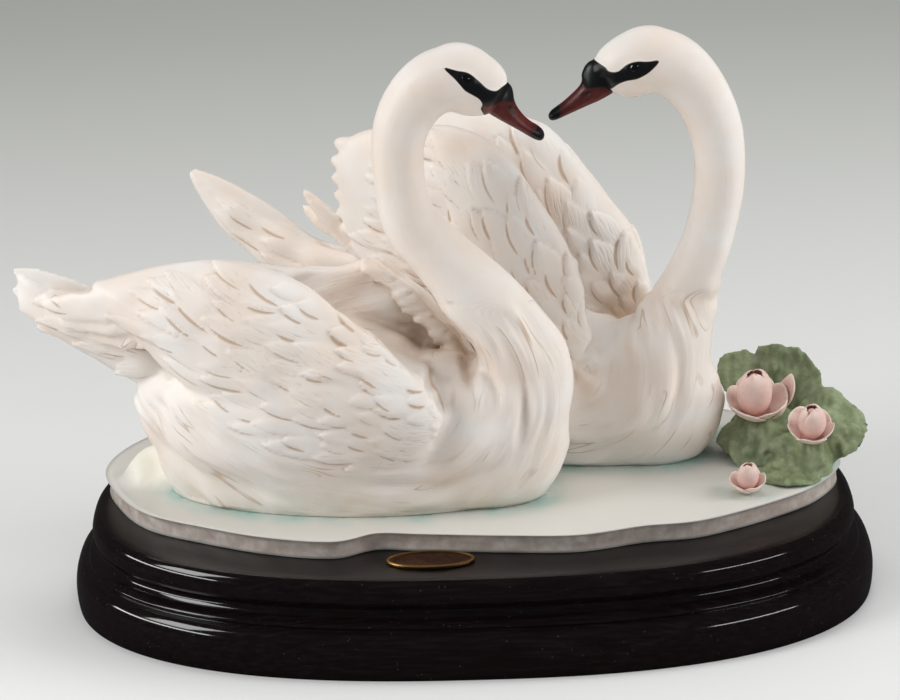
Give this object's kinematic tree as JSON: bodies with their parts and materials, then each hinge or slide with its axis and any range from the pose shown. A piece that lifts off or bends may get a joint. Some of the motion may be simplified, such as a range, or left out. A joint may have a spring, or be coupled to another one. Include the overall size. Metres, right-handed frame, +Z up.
{
  "type": "swan figurine",
  "caption": "Pair of white swans facing each other on a wavy pool slab with water lilies, mounted on an oval moulded dark wooden plinth with a plain oval plate.",
  "frame": {"origin": "centre of the plinth's flat underside", "axes": "+X along the plinth to the right, towards the water lilies, +Y away from the front with the name plate, +Z up"},
  "size_m": [0.4214, 0.2414, 0.2804],
  "materials": {
    "mahogany": "turned hardwood moulding stained near black under glossy lacquer, satin on top",
    "plate_brass": "stamped oval plate, bare, reddish brown face with a brighter rim",
    "pool_resin": "cold-cast marble resin, milky white with a pale aqua wash",
    "front_swan_resin": "cold-cast marble resin, bisque-like, warm white with tan wash; hand-painted bill, mask and eyes",
    "rear_swan_resin": "cold-cast marble resin, bisque-like, warm white with tan wash; hand-painted bill, mask and eyes",
    "leaf_glaze": "cast resin painted sage green, satin",
    "large_petals": "cast resin painted pale pink, satin",
    "medium_petals": "cast resin painted pale pink, satin",
    "small_petals": "cast resin painted pale pink, satin"
  },
  "bodies": {
    "root": {"plinth": "mahogany", "name_plate": "plate_brass", "pool": "pool_resin", "front_swan": "front_swan_resin", "rear_swan": "rear_swan_resin", "lily_pads": "leaf_glaze", "lily_large": "large_petals", "lily_medium": "medium_petals", "lily_small": "small_petals"}
  },
  "joints": []
}
